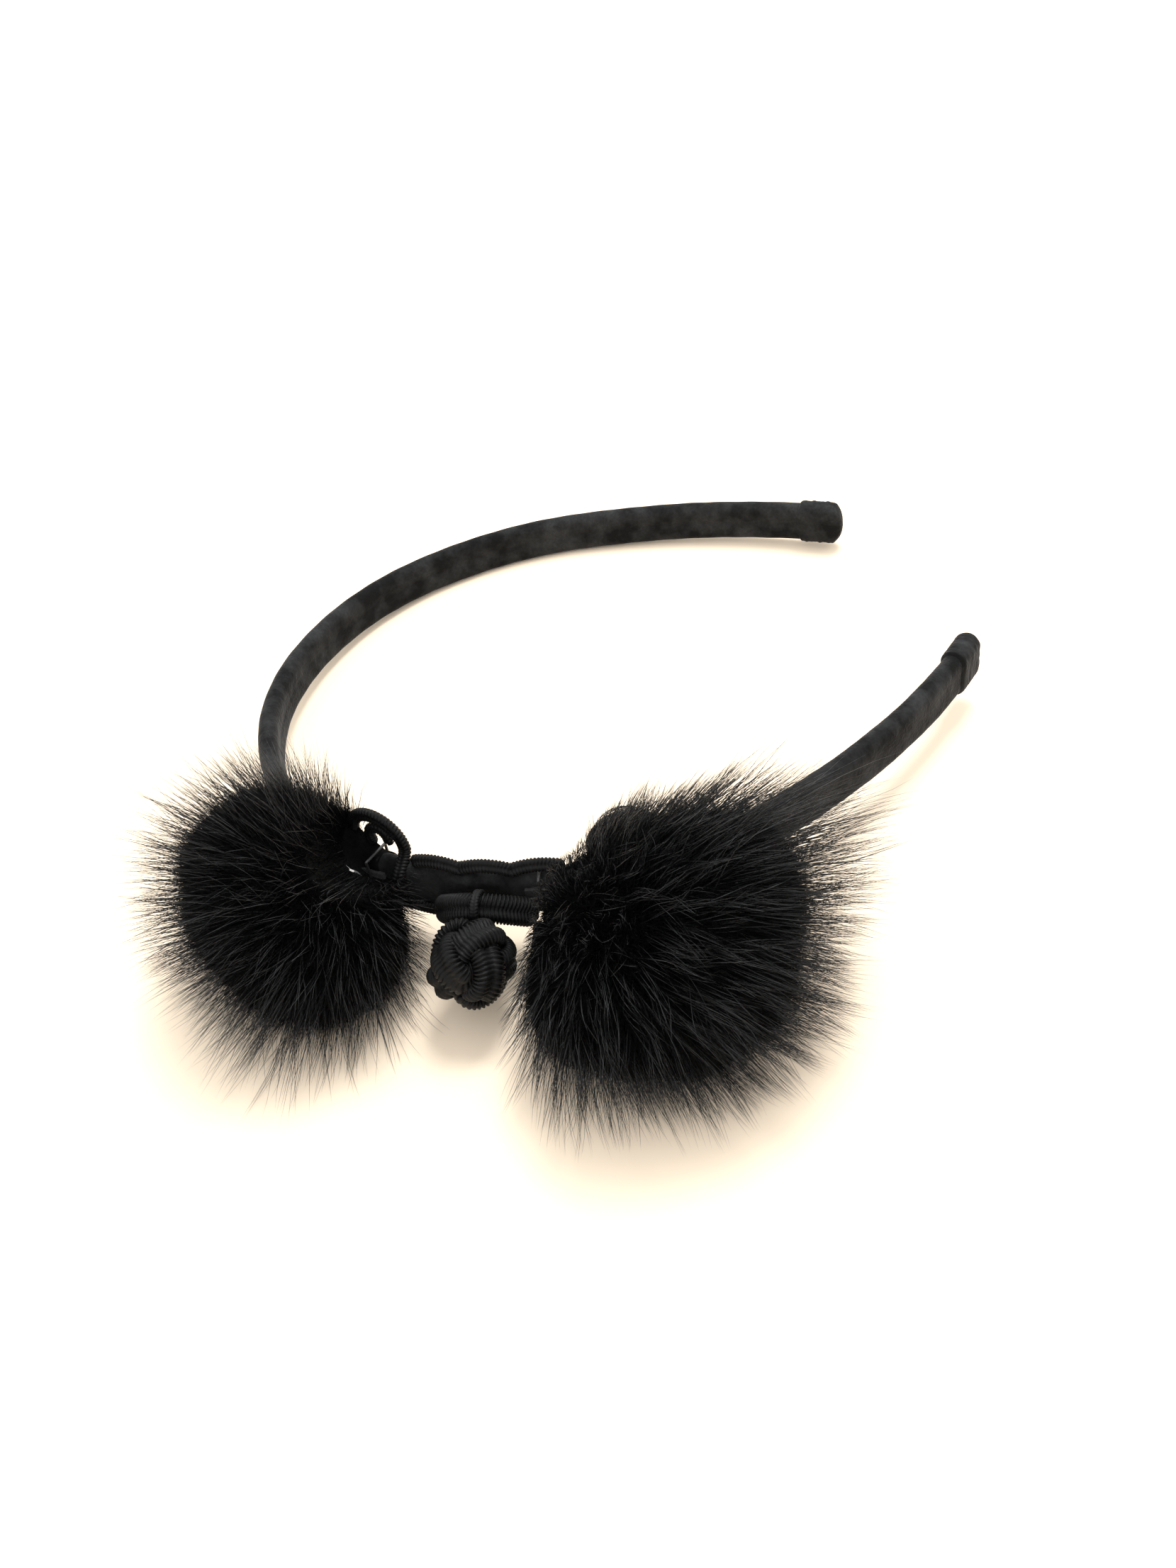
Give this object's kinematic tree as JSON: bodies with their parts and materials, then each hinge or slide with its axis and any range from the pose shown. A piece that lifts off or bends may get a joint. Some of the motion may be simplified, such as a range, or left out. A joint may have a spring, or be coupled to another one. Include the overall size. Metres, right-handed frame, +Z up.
{
  "type": "animal ears headband",
  "caption": "Black velvet alice band lying on its edge, with two fur ball ears sewn off centre and a corded frog with a knotted ball button between them.",
  "frame": {"origin": "centre of the bounding box, on the plane that the headband rests on", "axes": "+Z up out of the plane it lies on, which is nearly along the band's width; +Y from the crown towards the open ends; +X towards the decorated leg"},
  "size_m": [0.1821, 0.1774, 0.042],
  "materials": {
    "moulded_plastic": "smooth moulded strip, satin",
    "black_velvet": "short-pile velvet with a soft sheen",
    "black_fur": "dense silky fur with long guard hairs",
    "white_filling": "soft polyester filling",
    "black_thread": "twisted sewing thread",
    "black_felt": "matt pressed felt",
    "black_gimp": "gimp cord with a slight lustre",
    "black_cord": "thick twisted cord with a slight lustre"
  },
  "bodies": {
    "headband": {"band_core": "moulded_plastic", "velvet_sleeve": "black_velvet", "left_end_wrap": "black_velvet", "right_end_wrap": "black_velvet", "left_ear_pad": "black_felt", "left_ear_stitches": "black_thread", "right_ear_pad": "black_felt", "right_ear_stitches": "black_thread", "frog_upper_braid": "black_gimp", "frog_lower_braid": "black_gimp", "frog_left_curl": "black_gimp", "frog_inner_curl": "black_gimp", "frog_right_curl": "black_gimp", "frog_loop_cord": "black_cord", "frog_cord_tail": "black_cord"},
    "left_ear": {"left_ear_pelt": "black_fur", "left_ear_stuffing": "white_filling", "left_ear_drawstring": "black_thread"},
    "right_ear": {"right_ear_pelt": "black_fur", "right_ear_stuffing": "white_filling", "right_ear_drawstring": "black_thread"},
    "button": {"button_shank": "black_cord", "button_knot": "black_cord"}
  },
  "joints": [
    {"name": "left_ear_swing", "type": "hinge", "parent": "headband", "child": "left_ear", "pos_m": [0.02712, -0.05716, 0.01354], "axis": [-0.0713, 0.0029, 0.9975], "range_deg": [0, 12], "stiffness_Nm_per_rad": 0.004},
    {"name": "right_ear_swing", "type": "hinge", "parent": "headband", "child": "right_ear", "pos_m": [0.05178, -0.02136, 0.0152], "axis": [-0.0713, 0.0029, 0.9975], "range_deg": [-9, 0], "stiffness_Nm_per_rad": 0.004},
    {"name": "button_swing", "type": "hinge", "parent": "headband", "child": "button", "pos_m": [0.04709, -0.03521, 0.0129], "axis": [-0.0713, 0.0029, 0.9975], "range_deg": [-12, 12], "stiffness_Nm_per_rad": 0.002}
  ]
}
